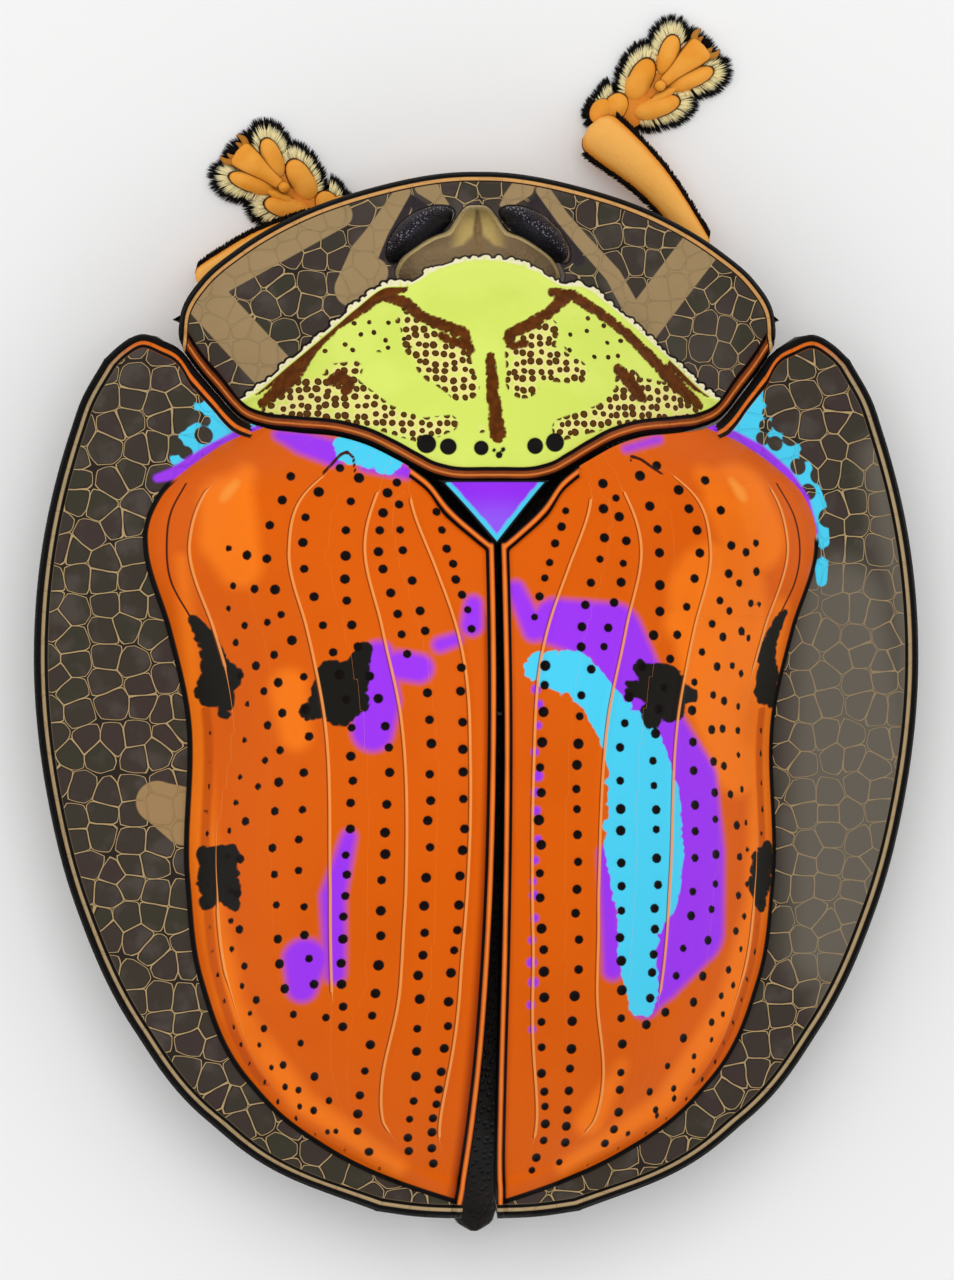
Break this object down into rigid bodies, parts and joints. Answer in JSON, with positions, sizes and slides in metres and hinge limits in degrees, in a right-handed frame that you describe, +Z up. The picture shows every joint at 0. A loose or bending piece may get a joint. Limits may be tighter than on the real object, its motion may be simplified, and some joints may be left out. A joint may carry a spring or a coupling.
{
  "type": "tortoise beetle",
  "caption": "Life-size tortoise beetle, standing still: domed orange elytra with wide dark margins, lime pronotum, head, antennae and sprawled legs.",
  "frame": {"origin": "on the floor under the middle of the bounding box, at z = 0 where the six feet rest", "axes": "+Y towards the tail, so the animal faces -Y; +Z up; +X is the animal's left"},
  "size_m": [0.0126, 0.0173, 0.0065],
  "materials": {
    "elytron": "glossy orange cuticle with black pits and dark net-marked margins",
    "pronotum": "glossy lime cuticle with brown marks and a dark see-through margin",
    "scutellum": "iridescent purple cuticle with cyan edges",
    "body": "black cuticle of the underside",
    "head": "brown cuticle with a paler ridge",
    "mouth": "dark brown cuticle",
    "eye": "dark faceted eye with pale specks",
    "antenna": "tan cuticle with short hairs",
    "leg": "orange cuticle with short hairs",
    "foot": "orange lobed foot joints with a pale hair fringe"
  },
  "bodies": {
    "root": {"elytron_left": "elytron", "elytron_right": "elytron", "pronotum": "pronotum", "scutellum": "scutellum", "thorax": "body", "abdomen": "body", "head": "head", "mouthparts": "mouth", "eye_left": "eye", "eye_right": "eye", "antenna_base_left": "antenna", "antenna_left": "antenna", "antenna_base_right": "antenna", "antenna_right": "antenna", "front_leg_left_femur": "leg", "front_leg_left_tibia": "leg", "front_leg_left_tarsus": "foot", "front_leg_right_femur": "leg", "front_leg_right_tibia": "leg", "front_leg_right_tarsus": "foot", "middle_leg_left_femur": "leg", "middle_leg_left_tibia": "leg", "middle_leg_left_tarsus": "foot", "middle_leg_right_femur": "leg", "middle_leg_right_tibia": "leg", "middle_leg_right_tarsus": "foot", "hind_leg_left_femur": "leg", "hind_leg_left_tibia": "leg", "hind_leg_left_tarsus": "foot", "hind_leg_right_femur": "leg", "hind_leg_right_tibia": "leg", "hind_leg_right_tarsus": "foot"}
  },
  "joints": []
}
